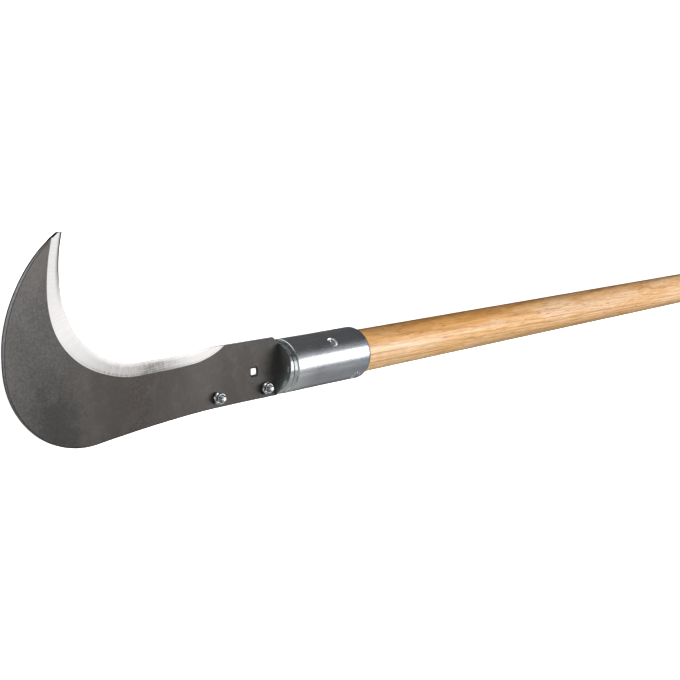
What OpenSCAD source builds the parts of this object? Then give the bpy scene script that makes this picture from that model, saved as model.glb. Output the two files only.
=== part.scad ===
// Billhook with a hooked blade bolted to a steel socket on a long ash handle.
// Millimetres. +X runs along the handle's axis from the blade to the butt, +Y points to the hook's tip,
// +Z is the side of the blade that carries the nuts. The origin is on the axis where the grip begins.

/* [Handle] */
// Diameter of the grip
grip_diameter = 40.4; // [36:0.1:41]
// Length of the grip, from where it begins to the butt
grip_length = 1100; // [400:10:1500]
// Rounding of the butt's edge
butt_round = 8; // [2:0.5:15]
// How far the full-size end stands out of the socket
shoulder_out = 3; // [1:0.5:12]
// Length of the taper from the full-size end down to the grip
shoulder_taper = 3; // [1:0.5:12]
// Radial clearance of the handle's end in the socket
handle_clearance = 0.25; // [0.1:0.05:0.5]
// Gap between the handle's end and the cap's spigot
handle_end_gap = 0.3; // [0.1:0.1:2]

/* [Socket] */
// Outside diameter of the socket
socket_diameter = 48.3; // [46:0.1:54]
// Wall of the socket
socket_wall = 3.2; // [2.6:0.1:3.6]
// Length of the socket
socket_length = 102; // [90:1:160]
// Length of the drawn-in nose at the front of the socket
nose_length = 6; // [2:0.5:12]
// How much smaller in radius the nose is at its front
nose_drop = 1.2; // [0.4:0.1:1.8]
// Rounding of the socket's mouth
mouth_round = 0.8; // [0.3:0.1:1.2]

/* [End cap] */
// Diameter of the cap
cap_diameter = 45.4; // [44:0.1:47]
// Thickness of the cap in front of the socket
cap_thickness = 4.6; // [3.5:0.1:8]
// Rounding of the cap's front edge
cap_round = 2.4; // [0.5:0.1:3]
// Bevel of the seam between cap and socket
seam_bevel = 0.4; // [0.2:0.1:0.8]
// Length of the spigot that fills the socket's front
spigot_length = 6; // [3:0.5:15]
// Radial clearance of the spigot in the socket
spigot_clearance = 0.05; // [0.02:0.01:0.2]

/* [Tongue] */
// Width of the tongue
tongue_width = 15; // [14:0.5:16]
// Thickness of the tongue
tongue_thickness = 6; // [5:0.5:7.5]
// Length of the tongue in front of the cap
tongue_length = 80; // [78:1:110]
// Distance of the bolt line below the handle's axis
bolt_drop = 14; // [12:0.5:14.5]
// Leg of the weld between tongue and cap
weld_leg = 4; // [2:0.5:5]
// Distance from the tongue's lower edge to the weld's end
weld_inset = 2; // [1:0.5:5]

/* [Blade] */
// Thickness of the blade
blade_thickness = 3; // [2.5:0.1:4.5]
// Height of the tang's upper edge above the axis
tang_top = 28; // [26.5:0.1:30]
// Depth of the tang's lower edge below the axis
tang_bottom = 23; // [22:0.1:26]
// Gap between the tang's end and the cap
tang_gap = 0.5; // [0.2:0.1:2]
// Bevel of the tang's upper corner
tang_corner = 4.5; // [1:0.5:8]
// Reach of the spine's furthest point in front of the cap
spine_reach = 262; // [250:1:285]
// Height of the spine's furthest point above the axis
spine_height = 33; // [28:0.5:40]
// Radius of the spine above that point
spine_radius = 115; // [105:0.5:130]
// Radius of the belly below that point
belly_radius = 64.5; // [58:0.5:70]
// Radius of the long hollow curve from the belly to the tang
under_radius = 900; // [600:10:1500]
// Height of the blunt tip above the axis
tip_height = 128.5; // [115:0.5:132]

/* [Cutting edge] */
// Reach of the hook's throat in front of the cap
throat_reach = 212; // [200:1:218]
// Height of the straight edge above the axis
edge_height = 25.5; // [22:0.1:26]
// Radius of the hook's throat
throat_radius = 64.5; // [55:0.5:70]
// Radius of the edge from the throat to the tip
tip_edge_radius = 114; // [100:0.5:140]
// Turn at which the throat opens toward the tip
throat_turn = 6; // [0:0.5:12]
// Width of the bevel on each face
bevel_width = 11; // [6:0.5:14]
// Flat left on the edge
edge_flat = 0.3; // [0.1:0.05:0.6]
// Reach of the place where the straight edge starts to run out
runout_reach = 94.5; // [88:0.5:110]
// Radius of the run-out
runout_radius = 47; // [30:1:60]

/* [Bolts] */
// Diameter of the bolts
bolt_diameter = 6; // [5:0.1:6.4]
// Length of the bolts under the head
bolt_length = 18.4; // [17:0.2:25]
// Diameter of the bolt's domed head
bolt_head_diameter = 14; // [11:0.5:15]
// Height of the bolt's domed head
bolt_head_height = 3.3; // [2:0.1:5]
// Side of the bolt's square neck
neck_side = 6.3; // [6:0.1:7]
// Length of the bolt's square neck
neck_length = 4; // [2:0.5:5]
// Clearance on each side of the neck in its square hole
neck_clearance = 0.1; // [0.05:0.05:0.3]
// Bevel on the bolt's end
bolt_end_bevel = 0.7; // [0.3:0.1:1.2]
// Reach of the rear bolt in front of the cap
rear_bolt_reach = 14.5; // [12.5:0.5:22]
// Spacing of the two bolts
bolt_spacing = 55; // [35:0.5:57]
// Reach of the spare hole in front of the cap
spare_reach = 27.3; // [12:0.1:60]
// Height of the spare hole above the axis
spare_height = 1.5; // [0:0.1:8]

/* [Nuts] */
// Size of the nuts across flats
nut_flats = 10; // [9:0.1:11]
// Height of the nut's hexagon
nut_hex_height = 4.2; // [3:0.1:6]
// Diameter of the round collar on the nut
collar_diameter = 8.9; // [8.2:0.1:9.4]
// Height of the collar above the hexagon
collar_height = 1.7; // [1:0.1:3]
// Diameter of the locking insert
insert_diameter = 7.8; // [7:0.1:8]
// Height of the locking insert
insert_height = 1.6; // [1:0.1:1.8]
// Radial clearance of nut and insert on the bolt
nut_clearance = 0.05; // [0.02:0.01:0.2]
// Radial clearance of the insert in the collar
insert_clearance = 0.03; // [0.02:0.01:0.1]
// Lip that holds the insert in the collar
collar_lip = 0.25; // [0.1:0.05:0.4]

/* [Screws] */
// Distance of the front screw from the socket's mouth
front_screw_from_mouth = 43.5; // [30:0.5:80]
// Distance of the rear screw from the socket's mouth
rear_screw_from_mouth = 11; // [8:0.5:24]
// Turn of the front screw about the axis, from the hook's side toward the nuts
front_screw_turn = 47; // [0:1:100]
// Turn of the rear screw about the axis, from the hook's side toward the nuts
rear_screw_turn = 141; // [110:1:240]
// Diameter of the screws' heads
screw_head_diameter = 10; // [8:0.1:10.6]
// Diameter of the screws' shanks
screw_diameter = 5; // [4:0.1:6]
// Length of the screws
screw_length = 30; // [16:1:38]
// Length of the screws' points
screw_point = 4; // [2:0.5:8]
// Depth of the cross recess
recess_depth = 1.9; // [1:0.1:2.2]
// Span of the cross recess
recess_span = 5.4; // [4:0.1:6.5]
// Width of the cross recess
recess_width = 1.3; // [0.8:0.1:1.8]
// Depth of the screw head's face below the socket's skin
screw_sink = 0.25; // [0.1:0.05:0.5]
// Clearance round the screws
screw_clearance = 0.05; // [0.02:0.01:0.2]

/* [Hidden] */
$fn = 180;
// Overlap that lets one cut run past another
past = 1;

// Places along the axis
mouth_x = -(shoulder_out + shoulder_taper);
socket_front_x = mouth_x - socket_length;
cap_face_x = socket_front_x - cap_thickness;
tang_end_x = cap_face_x - tang_gap;
handle_front_x = socket_front_x + spigot_length + handle_end_gap;

// Radii about the axis
grip_r = grip_diameter / 2;
socket_r = socket_diameter / 2;
socket_bore_r = socket_r - socket_wall;
handle_end_r = socket_bore_r - handle_clearance;
cap_r = cap_diameter / 2;

// Heights of the stacked plates
tongue_top_z = tongue_thickness / 2;
blade_mid_z = tongue_top_z + blade_thickness / 2;
blade_top_z = tongue_top_z + blade_thickness;

// Bolts, nuts and square holes
neck_hole = neck_side + 2 * neck_clearance;
bolt_r = bolt_diameter / 2;
nut_bore_r = bolt_r + nut_clearance;
front_bolt_reach = rear_bolt_reach + bolt_spacing;
rear_bolt_x = cap_face_x - rear_bolt_reach;
front_bolt_x = cap_face_x - front_bolt_reach;
nut_height = nut_hex_height + collar_height;

// Centres of the blade's curves
spine_x = cap_face_x - spine_reach;
spine_c = [spine_x + spine_radius, spine_height];
belly_c = [spine_x + belly_radius, spine_height];
under_y = -tang_bottom - under_radius;
under_x = belly_c[0] + sqrt(pow(belly_radius + under_radius, 2) - pow(spine_height - under_y, 2));
throat_c = [cap_face_x - throat_reach + throat_radius, edge_height + throat_radius];
tip_edge_c = throat_c + (tip_edge_radius - throat_radius) * [cos(throat_turn), sin(throat_turn)];
runout_c = [cap_face_x - runout_reach, edge_height + runout_radius];

// Slope of the bevel, as width gained for each millimetre of depth
bevel_slope = bevel_width / (blade_thickness / 2 - edge_flat / 2);
// A span larger than the whole blade
span = 2 * (spine_reach + tip_height);

// Half of the plane on the positive side of Y, turned about a point
module half_plane(at, turn) {
    translate(at) rotate(turn) translate([-span, 0]) square([2 * span, span]);
}

// The blade's outline before the hook is cut out
module blade_blank() {
    difference() {
        union() {
            intersection() {
                translate(spine_c) circle(spine_radius);
                translate([spine_x - past, spine_height]) square([span, tip_height - spine_height]);
            }
            intersection() {
                translate(belly_c) circle(belly_radius);
                translate([spine_x - past, spine_height - span]) square([belly_radius + past, span]);
            }
            translate([belly_c[0], spine_height - belly_radius])
                square([tang_end_x - belly_c[0], belly_radius]);
        }
        translate([under_x, under_y]) circle(under_radius);
        translate([under_x, under_y]) square([span, under_radius]);
        translate([tang_end_x, tang_top]) rotate(45) square(tang_corner * sqrt(2), center = true);
    }
}

// Stretch of the hook between the throat and the tip, where the wider curve holds
module tip_sector() {
    intersection() {
        half_plane(throat_c, throat_turn);
        translate([throat_c[0] - span, -span]) square([span + throat_radius, 2 * span]);
    }
}

// Stretch of the hook's throat
module throat_sector() {
    difference() {
        translate([throat_c[0] - span, -span]) square([span, 2 * span]);
        half_plane(throat_c, throat_turn);
    }
}

// The open space inside the hook and above the straight edge, seen from the side
module hook_opening() {
    intersection() {
        translate(tip_edge_c) circle(tip_edge_radius);
        tip_sector();
    }
    intersection() {
        translate(throat_c) circle(throat_radius);
        throat_sector();
    }
    translate([throat_c[0], edge_height]) square([runout_c[0] - throat_c[0], span]);
    intersection() {
        translate(runout_c) circle(runout_radius);
        translate([runout_c[0], runout_c[1] - span]) square(span);
    }
    translate([runout_c[0], tang_top]) square(span);
}

// Cone that grinds a bevel along a round stretch of the edge
module bevel_cone(centre, radius) {
    depth = blade_thickness / 2 - edge_flat / 2 + past;
    translate([centre[0], centre[1], edge_flat / 2])
        cylinder(h = depth, r1 = radius, r2 = radius + bevel_slope * depth);
}

// The bevel of one face, about the middle of the blade's thickness
module bevel_grind() {
    depth = blade_thickness / 2 - edge_flat / 2 + past;
    intersection() {
        bevel_cone(tip_edge_c, tip_edge_radius);
        linear_extrude(span) tip_sector();
    }
    intersection() {
        bevel_cone(throat_c, throat_radius);
        linear_extrude(span) throat_sector();
    }
    translate([throat_c[0], edge_height, edge_flat / 2]) rotate([90, 0, 90])
        linear_extrude(runout_c[0] - throat_c[0])
            polygon([[past, 0], [0, 0], [-bevel_slope * depth, depth], [past, depth]]);
    intersection() {
        bevel_cone(runout_c, runout_radius);
        translate([runout_c[0], runout_c[1] - span, 0]) cube(span);
    }
}

// One square hole through the blade
module square_hole(reach, height) {
    translate([cap_face_x - reach, height, tongue_top_z + blade_thickness / 2])
        cube([neck_hole, neck_hole, blade_thickness + 2 * past], center = true);
}

module blade() {
    color("dimgray") difference() {
        translate([0, 0, tongue_top_z]) linear_extrude(blade_thickness) difference() {
            blade_blank();
            hook_opening();
        }
        translate([0, 0, blade_mid_z]) bevel_grind();
        translate([0, 0, blade_mid_z]) mirror([0, 0, 1]) bevel_grind();
        square_hole(rear_bolt_reach, -bolt_drop);
        square_hole(front_bolt_reach, -bolt_drop);
        square_hole(spare_reach, spare_height);
    }
}

module tongue() {
    round_x = cap_face_x - tongue_length + tongue_width / 2;
    color("slategray") difference() {
        translate([0, -bolt_drop, -tongue_top_z]) linear_extrude(tongue_thickness) union() {
            translate([round_x, 0]) circle(d = tongue_width);
            translate([round_x, -tongue_width / 2]) square([cap_face_x - round_x, tongue_width]);
        }
        for (x = [rear_bolt_x, front_bolt_x])
            translate([x, -bolt_drop, 0]) cube([neck_hole, neck_hole, tongue_thickness + 2 * past], center = true);
    }
}

// Fillet of weld along the tongue's back face and along its upper edge
module tongue_weld() {
    color("gray") {
        translate([cap_face_x, weld_inset - bolt_drop - tongue_width / 2, -tongue_top_z]) rotate([-90, 0, 0])
            linear_extrude(tongue_width - weld_inset) polygon([[0, 0], [-weld_leg, 0], [0, weld_leg]]);
        translate([cap_face_x, tongue_width / 2 - bolt_drop, -tongue_top_z])
            linear_extrude(tongue_thickness) polygon([[0, 0], [-weld_leg, 0], [0, weld_leg]]);
    }
}

// Outline turned about the handle's axis, given as points of distance along the axis and radius
module turned(points) {
    rotate([0, 90, 0]) rotate([0, 0, 90]) rotate_extrude()
        polygon([for (p = points) [p[1], p[0]]]);
}

module end_cap() {
    spigot_r = socket_bore_r - spigot_clearance;
    round_steps = 12;
    color("lightsteelblue") turned(concat(
        [[cap_face_x, 0]],
        [for (i = [0:round_steps]) let (a = 90 * i / round_steps)
            [cap_face_x + cap_round * (1 - cos(a)), cap_r - cap_round * (1 - sin(a))]],
        [[socket_front_x - seam_bevel, cap_r], [socket_front_x, cap_r - seam_bevel]],
        [[socket_front_x, spigot_r], [socket_front_x + spigot_length, spigot_r]],
        [[socket_front_x + spigot_length, 0]]
    ));
}

module socket_tube() {
    color("silver") difference() {
        turned([
            [socket_front_x, socket_bore_r],
            [socket_front_x, socket_r - nose_drop],
            [socket_front_x + nose_length, socket_r],
            [mouth_x - mouth_round, socket_r],
            [mouth_x, socket_r - mouth_round],
            [mouth_x, socket_bore_r],
        ]);
        for (s = screws) screw_place(s) screw_hole();
    }
}

module handle() {
    butt_steps = 12;
    butt_x = grip_length - butt_round;
    color("burlywood") difference() {
        turned(concat(
            [[handle_front_x, 0], [handle_front_x, handle_end_r], [mouth_x + shoulder_out, handle_end_r]],
            [[0, grip_r]],
            [for (i = [0:butt_steps]) let (a = 90 * i / butt_steps)
                [butt_x + butt_round * sin(a), grip_r - butt_round * (1 - cos(a))]],
            [[grip_length, 0]]
        ));
        for (s = screws) screw_place(s) screw_hole();
    }
}

// Domed bolt with a square neck, standing on the tongue's back face
module bolt(x) {
    dome_r = (pow(bolt_head_diameter / 2, 2) + pow(bolt_head_height, 2)) / (2 * bolt_head_height);
    color("gainsboro") translate([x, -bolt_drop, -tongue_top_z]) {
        intersection() {
            translate([0, 0, dome_r - bolt_head_height]) sphere(dome_r);
            translate([0, 0, -bolt_head_height]) cylinder(h = bolt_head_height, d = bolt_head_diameter);
        }
        translate([-neck_side / 2, -neck_side / 2, 0]) cube([neck_side, neck_side, neck_length]);
        cylinder(h = bolt_length - bolt_end_bevel, r = bolt_r);
        translate([0, 0, bolt_length - bolt_end_bevel])
            cylinder(h = bolt_end_bevel, r1 = bolt_r, r2 = bolt_r - bolt_end_bevel);
    }
}

module front_bolt() {
    bolt(front_bolt_x);
}

module rear_bolt() {
    bolt(rear_bolt_x);
}

// Locking nut with a round collar that holds an insert
module nut(x) {
    corner_r = nut_flats / sqrt(3);
    bevel = corner_r - nut_flats / 2;
    color("whitesmoke") translate([x, -bolt_drop, blade_top_z]) difference() {
        union() {
            intersection() {
                cylinder(h = nut_hex_height, r = corner_r, $fn = 6);
                rotate_extrude() polygon([
                    [0, 0],
                    [nut_flats / 2, 0],
                    [corner_r, bevel],
                    [corner_r, nut_hex_height - bevel],
                    [nut_flats / 2, nut_hex_height],
                    [0, nut_hex_height],
                ]);
            }
            translate([0, 0, nut_hex_height]) cylinder(h = collar_height, d = collar_diameter);
        }
        translate([0, 0, -past]) cylinder(h = nut_height + 2 * past, r = nut_bore_r);
        translate([0, 0, nut_height - collar_lip - insert_height])
            cylinder(h = insert_height, d = insert_diameter);
        translate([0, 0, nut_height - collar_lip - past / 2])
            cylinder(h = collar_lip + past, d = insert_diameter - 2 * collar_lip);
    }
}

module front_nut() {
    nut(front_bolt_x);
}

module rear_nut() {
    nut(rear_bolt_x);
}

// Ring that grips the thread inside a nut's collar
module nut_insert(x) {
    color("lightblue") translate([x, -bolt_drop, blade_top_z + nut_height - collar_lip - insert_height])
        difference() {
            cylinder(h = insert_height, r = insert_diameter / 2 - insert_clearance);
            translate([0, 0, -past]) cylinder(h = insert_height + 2 * past, r = nut_bore_r);
        }
}

module front_nut_insert() {
    nut_insert(front_bolt_x);
}

module rear_nut_insert() {
    nut_insert(rear_bolt_x);
}

// Distance from the mouth and turn about the axis of each screw
screws = [[front_screw_from_mouth, front_screw_turn], [rear_screw_from_mouth, rear_screw_turn]];

// Puts a screw's face on the socket, with the screw pointing at the axis
module screw_place(s) {
    translate([mouth_x - s[0], 0, 0]) rotate([s[1], 0, 0]) rotate([-90, 0, 0])
        translate([0, 0, socket_r - screw_sink]) mirror([0, 0, 1]) children();
}

// Countersunk screw without its recess
module screw_body(head_r, shank_r) {
    head_depth = head_r - shank_r;
    cylinder(h = head_depth, r1 = head_r, r2 = shank_r);
    translate([0, 0, head_depth]) cylinder(h = screw_length - head_depth - screw_point, r = shank_r);
    translate([0, 0, screw_length - screw_point]) cylinder(h = screw_point, r1 = shank_r, r2 = 0);
}

// Countersunk hole for a screw, open above the head
module screw_hole() {
    head_r = screw_head_diameter / 2 + screw_clearance;
    shank_r = screw_diameter / 2 + screw_clearance;
    screw_body(head_r, shank_r);
    translate([0, 0, -socket_wall]) cylinder(h = socket_wall, r = head_r);
}

module screw(s) {
    color("lightgray") screw_place(s) difference() {
        screw_body(screw_head_diameter / 2, screw_diameter / 2);
        for (turn = [0, 90])
            rotate(turn + 20) translate([-recess_span / 2, -recess_width / 2, -past])
                cube([recess_span, recess_width, recess_depth + past]);
    }
}

module front_screw() {
    screw(screws[0]);
}

module rear_screw() {
    screw(screws[1]);
}

blade();
tongue();
tongue_weld();
end_cap();
socket_tube();
handle();
front_bolt();
rear_bolt();
front_nut();
rear_nut();
front_nut_insert();
rear_nut_insert();
front_screw();
rear_screw();
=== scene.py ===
"""Looks of a billhook: a hooked blade bolted to a capped socket on a long ash handle.

Shapes are worked out in millimetres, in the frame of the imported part, and turned into metres
when a piece is made. +X runs from the blade to the butt, +Y to the hook's tip, +Z out of the
blade on the side of the nuts. The tool lies on a pale floor.
"""
from functools import partialmethod
from math import asin, atan2, cos, degrees, hypot, inf, pi, radians, sin, sqrt

import bmesh
import bpy
import numpy as np
from mathutils import Matrix, Vector, geometry


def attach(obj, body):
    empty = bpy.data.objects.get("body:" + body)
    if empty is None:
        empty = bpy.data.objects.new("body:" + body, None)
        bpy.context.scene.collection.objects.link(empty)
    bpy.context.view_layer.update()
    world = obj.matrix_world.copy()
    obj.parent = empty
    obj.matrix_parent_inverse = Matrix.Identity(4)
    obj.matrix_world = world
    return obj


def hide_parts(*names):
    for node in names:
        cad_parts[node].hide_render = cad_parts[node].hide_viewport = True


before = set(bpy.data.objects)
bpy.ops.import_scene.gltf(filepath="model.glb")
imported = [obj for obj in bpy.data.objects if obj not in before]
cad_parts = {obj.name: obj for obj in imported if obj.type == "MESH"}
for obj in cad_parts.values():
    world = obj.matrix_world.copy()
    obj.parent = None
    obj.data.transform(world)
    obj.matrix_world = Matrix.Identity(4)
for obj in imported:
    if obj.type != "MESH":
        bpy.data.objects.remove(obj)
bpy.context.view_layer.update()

SCENE = bpy.context.scene
MM = 0.001

# Radius of a ring that closes an end on the axis
CENTRE_R = 0.001
# Points round the pieces
SOCKET_STEPS = 160
HANDLE_STEPS = 128
HEAD_STEPS = 64
SCREW_STEPS = 32
BOLT_STEPS = 48
NUT_STEPS = 120
RING_STEPS = 72
FLOOR_STEPS = 96

# Places along the handle's axis
MOUTH_X = -4.8
TAPER_X = -60
SEAM_X = -106.5
CAP_FACE_X = -112
HANDLE_X = -101.7
BUTT_X = 1100

# Radii about the axis, and the rounding of the butt
GRIP_R = 20.62
HANDLE_END_R = 20.85
SOCKET_R = 24.45
WIDE_R = 24.85
BORE_R = 20.95
CAP_R = 22.95
BUTT_ROUND = 8

# The tube's front as place along the axis, radius and hang of the underside
TUBE_FRONT = (
    (SEAM_X + 0.05, BORE_R, 0),
    (SEAM_X + 0.05, 22.3, 1.1),
    (SEAM_X + 0.3, 23, 1.1),
    (-102.9, 23.35, 0.7),
    (-102.35, 24.12, 0),
)
# Where the tube reaches its full radius, and the length and depth of the lip at its mouth
TUBE_FULL_X = -101.87
LIP = 4.2
LIP_DEPTH = 2.9

# The cap: flat middle, rounding of the rim, fall of the face, slant, hang of the underside, spigot
CAP_FLAT_R = 7
CAP_EASE = 0.14
CAP_RIM_R = CAP_R - CAP_EASE
CAP_SLOPE = 0.35
CAP_POWER = 6
CAP_TILT = 0.12
CAP_SAG = 1.3
SPIGOT_R = BORE_R - 0.05
SPIGOT_END_X = SEAM_X + 6

# Heights of the tongue's back and of the blade's back, middle and front
TONGUE_Z = -3
BACK_Z = 3
MID_Z = 4.5
FRONT_Z = 6

# The blade's curves
SPINE_X = -375.1
SPINE_Y = 33
SPINE_R = 115.5
BELLY_R = 65
UNDER_R = 900
TANG_TOP = 28
TANG_BOTTOM = -23
TANG_SAG = 1
TANG_SAG_X = -150
TANG_SLANT_X = -114.4
TANG_SLANT_Y = 21.4
TIP_Y = 129.3
THROAT_C = np.array([-259.5, 90])
THROAT_R = 64.5
TIP_EDGE_R = 114
THROAT_TURN = radians(6)
EDGE_Y = 25.5
RUNOUT_C = np.array([-207.1, 72.5])
RUNOUT_R = 47
# Half the thickness of the edge, its dark end, and the dark strip on the tip's outer side
EDGE_HALF = 0.15
EDGE_DARK = 10
TIP_BLACK = 0.9
# The plain chamfer, the falls of its two sides, the dark line beside it and the back's eased edge
PLAIN_CHAMFER = 0.35
CHAMFER_TOP = 0.12
CHAMFER_FALL = 0.75
CORNER_LINE = 0.4
BACK_EASE = 0.5
# Where the spine's chamfer ends, how far chamfers fade at the outline's ends, and their gap to the cap
SPINE_END_X = -300
FADE = 6
CAP_NEAR = 0.5

# Holes in the plates, with the wider dished rims on the blade
BOLT_Y = -15.2
BOLT_XS = (-182.1, -127.1)
SPARE_HOLE = (-139.2, 0.8)
HOLE_HALF = 3.25
SPARE_HALF = 3
HOLE_CORNER = 1.1
DISH = 1.4
DISH_CORNER = 2.2
DISH_DEPTH = 0.9
DISH_BACK_DEPTH = 0.4

# Bolts and nuts. Threads are pitch, outer radius and depth
HEAD_R = 7
HEAD_TALL = 3.3
NECK_HALF = 3.15
NECK_TALL = 4
BOLT_LENGTH = 18.4
POINT_TALL = 1.2
BOLT_THREAD = (1, 3, 0.5)
BOLT_END_R = 1.5
BOLT_STEP = 0.1
POINT_SLOPE = 1.2
POINT_ROWS = 11
NUT_FLATS = 5
NUT_TALL = 2.9
NUT_TOP = 6.2
NUT_BORE_R = 3.1
NUT_CORNER_R = NUT_FLATS * 1.135
NUT_CHAMFER = 0.55
COLLAR_ROUND = 0.4
COLLAR_R = 3.95
RING_SUNK = 0.25
RING_TALL = 1.6
RING_BORE_R = 3.05
RING_R = 3.85
RECESS_R = 3.88
NUT_TURNS = (0.82, 0.25)

# The tongue's half width, the centre of its round end and its eased edges
TONGUE_HALF = 7.5
TONGUE_ROUND_X = -185.1
TONGUE_EASE = 0.5
# The weld's leg, ripples and steps, the start of its long run, and the length of both runs
WELD_LEG = 4
WELD_RIPPLE = 2.1
WELD_STEP = 0.25
WELD_START = 5.5
WELD_LONG = 13
WELD_SHORT = 6

# Screws as place along the axis, then in degrees the turn about it, the turn of the cross and the lean,
# then the height of the head over the tube and how domed the head is
SCREWS = (
    ("front_screw", -50.8, 47, 20, -9, -1, 1),
    ("rear_screw", -18.8, 141, 35, 0, 1.35, 1.9),
)
SCREW_THREAD = (1.8, 2.5, 0.8)
# The shank's top, end and steps, then height and radius of the point
SCREW_SHANK = (-3.6, -25.8, -0.25)
SCREW_POINT = (-29, 0.2)
# The screw head as radius and fall of its dome, then as radius and height of its underside
HEAD_DOME = ((0.5, 0), (1.6, 0.05), (2.6, 0.18), (3.4, 0.42), (3.8, 0.65), (4, 0.95))
HEAD_UNDER = [(2.5, -2.4), (2.3, -3.7)]
# The cross recess as height, half length and half width of an arm
CROSS = ((0.5, 2.8, 1.35), (-0.1, 2.5, 0.8), (-1.1, 1.2, 0.12))
# The countersink as radius and height
SINK = ((6, 0.6), (5, -0.4), (2.7, -2.7), (2.7, -5.3))


def spline(table, at):
    """Reads a short table with a smooth curve through its marks."""
    xs, ys = zip(*table)
    last = len(table) - 1
    i = 0
    while i < last - 1 and at > xs[i + 1]:
        i += 1
    slopes = []
    for k in (i, i + 1):
        low, high = max(k - 1, 0), min(k + 1, last)
        slopes.append((ys[high] - ys[low]) / (xs[high] - xs[low]))
    span = xs[i + 1] - xs[i]
    t = min(1, max(0, (at - xs[i]) / span))
    start = ys[i] * (1 + 2 * t) * (1 - t) ** 2 + slopes[0] * span * t * (1 - t) ** 2
    end = ys[i + 1] * t * t * (3 - 2 * t) + slopes[1] * span * t * t * (t - 1)
    return start + end


def heading(a):
    """Direction at an angle in the blade's plane."""
    return np.array([cos(a), sin(a)])


# Centre of the tip's wider curve, in line with the throat's centre
TIP_EDGE_C = THROAT_C + (TIP_EDGE_R - THROAT_R) * heading(THROAT_TURN)


class Mesh:
    """Collects points and faces in millimetres, with one shared point where two coincide."""

    def __init__(self):
        self.points, self.index = [], {}
        self.faces, self.slots, self.uvs = [], [], []

    def point(self, p):
        key = tuple(round(c * 2000) for c in p)
        if key not in self.index:
            self.index[key] = len(self.points)
            self.points.append(p)
        return self.index[key]

    def face(self, corners, slot=0, uv=None):
        ids = [self.point(c) for c in corners]
        uv = uv or [(0, 0)] * len(ids)
        kept = [i for i, one in enumerate(ids) if one != ids[i - 1]]
        if len({ids[i] for i in kept}) < 3:
            return
        self.faces.append([ids[i] for i in kept])
        self.slots.append(slot)
        self.uvs.append([uv[i] for i in kept])

    def strip(self, rows, slot=0, uvs=None):
        """Four-sided faces between rows of points, each row as long as the next."""
        for i in range(len(rows) - 1):
            for j in range(len(rows[0]) - 1):
                spots = ((i, j), (i, j + 1), (i + 1, j + 1), (i + 1, j))
                uv = [uvs[m][n] for m, n in spots] if uvs else None
                self.face([rows[m][n] for m, n in spots], slot, uv)

    def wrap(self, rows, slot=0):
        """Faces between rows of points that run all round."""
        self.strip([[*row, row[0]] for row in rows], slot)

    def flat(self, loops, z, slot=0):
        """Fills a flat outline with holes at one height."""
        solid = [[Vector((*p, 0)) for p in loop] for loop in loops]
        joined = sum(solid, [])
        for tri in geometry.tessellate_polygon(solid):
            self.face([(joined[i].x, joined[i].y, z) for i in tri], slot)

    def shell(self, rows, slot=0):
        """Faces between rows that run all round, with both ends filled."""
        self.wrap(rows, slot)
        self.face(rows[0], slot)
        self.face(rows[-1], slot)


def shown(name, data):
    """A new object of the scene."""
    thing = bpy.data.objects.new(name, data)
    SCENE.collection.objects.link(thing)
    return thing


def loose(name, built, materials=()):
    """A bare shape made of collected points."""
    data = bpy.data.meshes.new(name)
    data.from_pydata([[c * MM for c in p] for p in built.points], [], built.faces)
    for polygon, slot in zip(data.polygons, built.slots):
        polygon.material_index = slot
        polygon.use_smooth = True
    layer = data.uv_layers.new(name="along_edge")
    layer.data.foreach_set("uv", [c for uv in built.uvs for pair in uv for c in pair])
    work = bmesh.new()
    work.from_mesh(data)
    bmesh.ops.recalc_face_normals(work, faces=work.faces)
    work.to_mesh(data)
    work.free()
    for material in materials:
        data.materials.append(material)
    return shown(name, data)


def make(name, built, materials, node, sharp=30):
    """A piece that stands for a node of the part. Edges sharper than an angle stay sharp."""
    piece = loose(name, built, materials)
    piece.data.set_sharp_from_angle(angle=radians(sharp))
    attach(piece, "root")
    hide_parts(node)
    return piece


def ring_z(centre, z, r, steps):
    """Points of a circle about an upright axis. The radius and height may depend on the angle."""
    points = []
    for i in range(steps):
        a = 2 * pi * i / steps
        radius = r(a) if callable(r) else r
        height = z(a) if callable(z) else z
        points.append((centre[0] + radius * cos(a), centre[1] + radius * sin(a), height))
    return points


def ring_x(x, r, steps=SOCKET_STEPS):
    """Points of a circle about the handle's axis."""
    return [(x, y, z) for y, z, _ in ring_z((0, 0), 0, r, steps)]


def arc(centre, r, start, end, steps):
    """Points of an arc in degrees, both ends included."""
    angles = np.radians(np.linspace(start, end, steps + 1))
    return [(centre[0] + r * cos(a), centre[1] + r * sin(a)) for a in angles]


def rounded(centre, half, corner):
    """Outline of a square with rounded corners, counter-clockwise."""
    points = []
    for k, (u, v) in enumerate(((1, 1), (-1, 1), (-1, -1), (1, -1))):
        middle = (centre[0] + u * (half - corner), centre[1] + v * (half - corner))
        points += arc(middle, corner, 90 * k, 90 * (k + 1), 6)
    return points


def rounding(x, r, long, deep, steps):
    """Quarter of an ellipse that leads on from a place and radius, with its length and depth."""
    angles = np.linspace(0.1, pi / 2, steps)
    return [(x + long * sin(a), r - deep + deep * cos(a)) for a in angles]


def inset(points, normals, gap):
    """Outline moved inwards by a gap that may differ from point to point."""
    return [(p[0] - n[0] * g, p[1] - n[1] * g) for p, n, g in zip(points, normals, gap)]


def corner_normals(points, closed=True):
    """Outward miter vectors of a counter-clockwise outline."""
    before, after = (points[-1], points[0]) if closed else (points[0], points[-1])
    around = [before, *points, after]
    out = []
    for corner in zip(around, around[1:], around[2:]):
        sides = []
        for a, b in zip(corner, corner[1:]):
            d = np.subtract(b, a)
            length = np.linalg.norm(d)
            if length > 1e-9:
                sides.append(np.array([d[1], -d[0]]) / length)
        out.append((sides[0] + sides[-1]) / (1 + sides[0] @ sides[-1]))
    return out


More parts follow.
